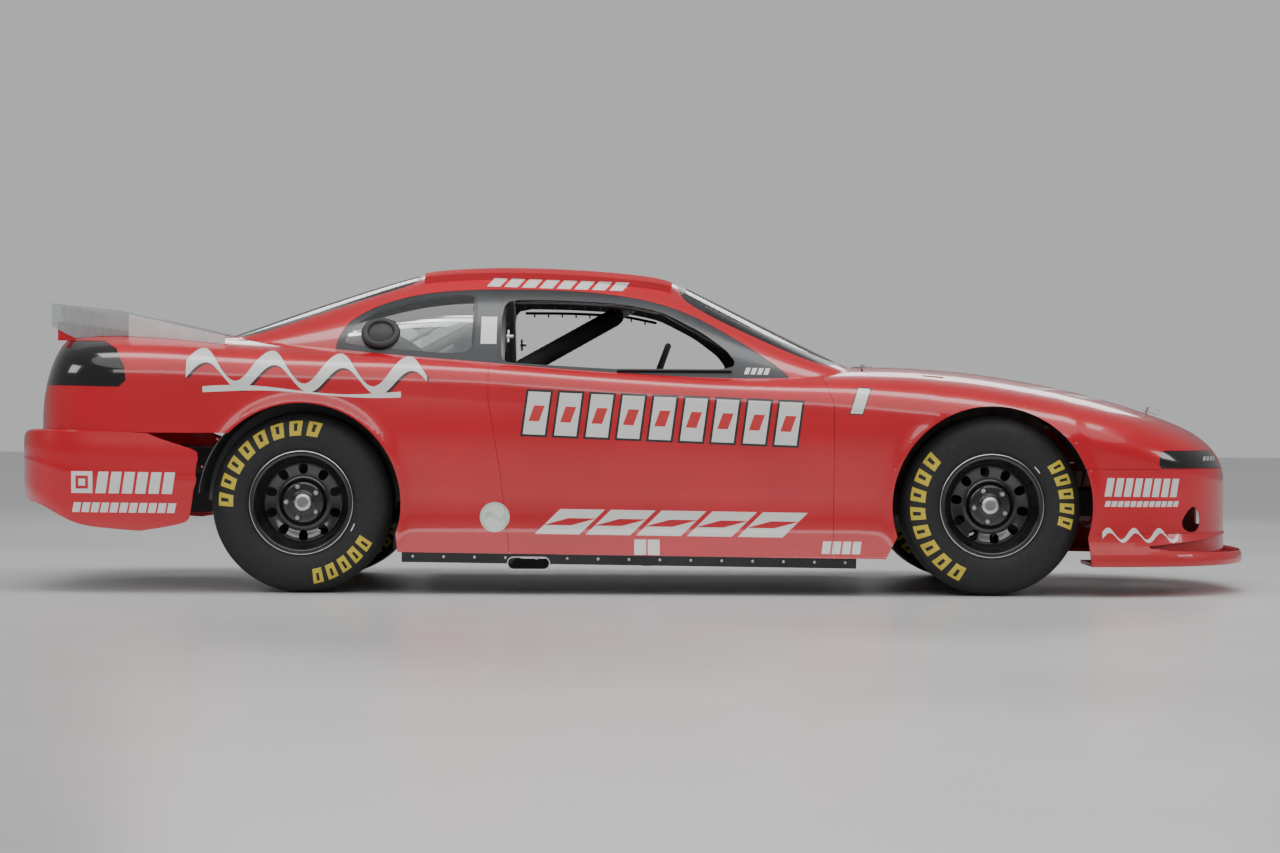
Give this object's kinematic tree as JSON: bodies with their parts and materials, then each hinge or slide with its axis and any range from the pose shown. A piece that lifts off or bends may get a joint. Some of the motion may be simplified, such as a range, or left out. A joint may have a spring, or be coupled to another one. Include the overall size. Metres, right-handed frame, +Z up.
{
  "type": "stock car",
  "caption": "Full-size coupe-bodied stock car for oval racing: hinged hood and deck lid, steered front wheels, roll cage, spoiler and open side windows.",
  "frame": {"origin": "on the ground under the middle of the car's bounding box", "axes": "+X towards the nose, +Y to the driver's left, +Z up"},
  "size_m": [4.95, 1.9098, 1.3018],
  "materials": {
    "red_paint": "gloss clear coat over red",
    "bare_steel": "satin",
    "clear_sheet": "clear polished sheet",
    "window_band": "satin slate grey",
    "gloss_black": "gloss",
    "black_plastic": "matt",
    "sheet_metal": "satin grey",
    "frame_paint": "satin grey",
    "cage_paint": "satin light grey",
    "seat_cloth": "woven, dark blue",
    "grip_rubber": "matt",
    "cast_metal": "cast",
    "cooler_core": "finned",
    "arm_paint": "satin black",
    "tyre": "matt slick tread",
    "wheel_black": "gloss black"
  },
  "bodies": {
    "chassis": {"nose_cover": "red_paint", "left_fender": "red_paint", "right_fender": "red_paint", "left_door": "red_paint", "right_door": "red_paint", "left_quarter": "red_paint", "right_quarter": "red_paint", "roof_panel": "red_paint", "cowl_panel": "red_paint", "tail_panel": "red_paint", "rear_bumper": "red_paint", "hinge_leaves": "bare_steel", "side_fences": "clear_sheet", "windshield": "clear_sheet", "rear_windows": "clear_sheet", "window_trim": "window_band", "light_covers": "gloss_black", "side_skirts": "black_plastic", "exhaust_pipes": "bare_steel", "floor_pan": "sheet_metal", "frame_rails": "frame_paint", "roll_cage": "cage_paint", "driver_seat": "seat_cloth", "dashboard": "black_plastic", "engine": "cast_metal", "drive_line": "cast_metal", "radiator": "cooler_core", "fuel_cell": "black_plastic", "front_suspension": "arm_paint", "rear_axle": "arm_paint", "rear_suspension": "arm_paint"},
    "hood": {"hood": "red_paint", "hood_hinges": "bare_steel"},
    "deck": {"deck_lid": "red_paint", "deck_hinges": "bare_steel", "spoiler_blade": "clear_sheet"},
    "steering_wheel": {"steering_wheel": "grip_rubber"},
    "left_knuckle": {"left_knuckle": "cast_metal"},
    "right_knuckle": {"right_knuckle": "cast_metal"},
    "front_left_wheel": {"front_left_tyre": "tyre", "front_left_rim": "wheel_black"},
    "front_right_wheel": {"front_right_tyre": "tyre", "front_right_rim": "wheel_black"},
    "rear_left_wheel": {"rear_left_tyre": "tyre", "rear_left_rim": "wheel_black"},
    "rear_right_wheel": {"rear_right_tyre": "tyre", "rear_right_rim": "wheel_black"}
  },
  "joints": [
    {"name": "hood_hinge", "type": "hinge", "parent": "chassis", "child": "hood", "pos_m": [0.905, 0, 0.90491], "axis": [0, -1, 0], "range_deg": [0, 55]},
    {"name": "deck_hinge", "type": "hinge", "parent": "chassis", "child": "deck", "pos_m": [-1.7, 0, 1.02093], "axis": [0, 1, 0], "range_deg": [0, 50]},
    {"name": "steer_left", "type": "hinge", "parent": "chassis", "child": "left_knuckle", "pos_m": [1.373, 0.71, 0.352], "axis": [0, 0, 1], "range_deg": [-22, 22]},
    {"name": "steer_right", "type": "hinge", "parent": "chassis", "child": "right_knuckle", "pos_m": [1.373, -0.71, 0.352], "axis": [0, 0, 1], "range_deg": [-22, 22]},
    {"name": "steering_turn", "type": "hinge", "parent": "chassis", "child": "steering_wheel", "pos_m": [0.06, 0.382, 0.835], "axis": [-0.9397, 0, 0.342], "range_deg": [-264, 264]},
    {"name": "front_left_spin", "type": "hinge", "parent": "left_knuckle", "child": "front_left_wheel", "pos_m": [1.373, 0.77, 0.352], "axis": [0, 1, 0], "continuous": true},
    {"name": "front_right_spin", "type": "hinge", "parent": "right_knuckle", "child": "front_right_wheel", "pos_m": [1.373, -0.77, 0.352], "axis": [0, 1, 0], "continuous": true},
    {"name": "rear_left_spin", "type": "hinge", "parent": "chassis", "child": "rear_left_wheel", "pos_m": [-1.319, 0.77, 0.352], "axis": [0, 1, 0], "continuous": true},
    {"name": "rear_right_spin", "type": "hinge", "parent": "chassis", "child": "rear_right_wheel", "pos_m": [-1.319, -0.77, 0.352], "axis": [0, 1, 0], "continuous": true}
  ],
  "couplings": [
    {"joint": "steer_right", "follows": "steer_left", "ratio": 1},
    {"joint": "steering_turn", "follows": "steer_left", "ratio": 12}
  ]
}
